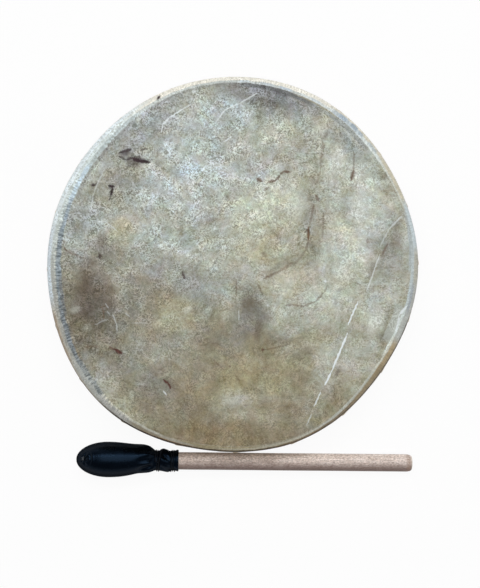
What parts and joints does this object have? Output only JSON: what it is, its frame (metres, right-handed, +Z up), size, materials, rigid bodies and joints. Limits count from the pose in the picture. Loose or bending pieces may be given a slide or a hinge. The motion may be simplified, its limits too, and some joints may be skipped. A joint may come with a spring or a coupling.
{
  "type": "ocean drum",
  "caption": "Round ocean drum: a bentwood hoop between two laced rawhide heads, with loose steel shot sealed inside, and a leather-headed beater lying beside it.",
  "frame": {"origin": "middle of the back head's outer face, on which the drum lies", "axes": "+Z up through the drum to the front head; +X along the beater from its padded head to its bare end; +Y from the beater to the drum"},
  "size_m": [0.4045, 0.4381, 0.06],
  "materials": {
    "hoop_wood": "satin",
    "nail_steel": "satin",
    "goat_hide": "satin",
    "rawhide_lace": "satin",
    "shot_steel": "polished",
    "stick_wood": "matte",
    "wadding": "matte",
    "black_leather": "satin",
    "black_cord": "matte"
  },
  "bodies": {
    "drum": {"hoop": "hoop_wood", "scarf_nails": "nail_steel", "top_head": "goat_hide", "bottom_head": "goat_hide", "side_lace": "rawhide_lace"},
    "shot_01": {"shot_lane_01": "shot_steel"},
    "shot_02": {"shot_lane_02": "shot_steel"},
    "shot_03": {"shot_lane_03": "shot_steel"},
    "shot_04": {"shot_lane_04": "shot_steel"},
    "shot_05": {"shot_lane_05": "shot_steel"},
    "shot_06": {"shot_lane_06": "shot_steel"},
    "shot_07": {"shot_lane_07": "shot_steel"},
    "shot_08": {"shot_lane_08": "shot_steel"},
    "shot_09": {"shot_lane_09": "shot_steel"},
    "shot_10": {"shot_lane_10": "shot_steel"},
    "shot_11": {"shot_lane_11": "shot_steel"},
    "shot_12": {"shot_lane_12": "shot_steel"},
    "beater": {"beater_stick": "stick_wood", "beater_wadding": "wadding", "beater_cover": "black_leather", "beater_tie": "black_cord", "beater_tip_thread": "black_cord"}
  },
  "joints": [
    {"name": "shot_01_roll", "type": "hinge", "parent": "drum", "child": "shot_01", "pos_m": [0, 0, 0.004], "axis": [0, 0, 1], "continuous": true},
    {"name": "shot_02_roll", "type": "hinge", "parent": "drum", "child": "shot_02", "pos_m": [0, 0, 0.004], "axis": [0, 0, 1], "continuous": true},
    {"name": "shot_03_roll", "type": "hinge", "parent": "drum", "child": "shot_03", "pos_m": [0, 0, 0.004], "axis": [0, 0, 1], "continuous": true},
    {"name": "shot_04_roll", "type": "hinge", "parent": "drum", "child": "shot_04", "pos_m": [0, 0, 0.004], "axis": [0, 0, 1], "continuous": true},
    {"name": "shot_05_roll", "type": "hinge", "parent": "drum", "child": "shot_05", "pos_m": [0, 0, 0.004], "axis": [0, 0, 1], "continuous": true},
    {"name": "shot_06_roll", "type": "hinge", "parent": "drum", "child": "shot_06", "pos_m": [0, 0, 0.004], "axis": [0, 0, 1], "continuous": true},
    {"name": "shot_07_roll", "type": "hinge", "parent": "drum", "child": "shot_07", "pos_m": [0, 0, 0.004], "axis": [0, 0, 1], "continuous": true},
    {"name": "shot_08_roll", "type": "hinge", "parent": "drum", "child": "shot_08", "pos_m": [0, 0, 0.004], "axis": [0, 0, 1], "continuous": true},
    {"name": "shot_09_roll", "type": "hinge", "parent": "drum", "child": "shot_09", "pos_m": [0, 0, 0.004], "axis": [0, 0, 1], "continuous": true},
    {"name": "shot_10_roll", "type": "hinge", "parent": "drum", "child": "shot_10", "pos_m": [0, 0, 0.004], "axis": [0, 0, 1], "continuous": true},
    {"name": "shot_11_roll", "type": "hinge", "parent": "drum", "child": "shot_11", "pos_m": [0, 0, 0.004], "axis": [0, 0, 1], "continuous": true},
    {"name": "shot_12_roll", "type": "hinge", "parent": "drum", "child": "shot_12", "pos_m": [0, 0, 0.004], "axis": [0, 0, 1], "continuous": true},
    {"name": "beater_lift", "type": "slide", "parent": "drum", "child": "beater", "axis": [0, 0, 1], "range_m": [0, 0.2]}
  ]
}
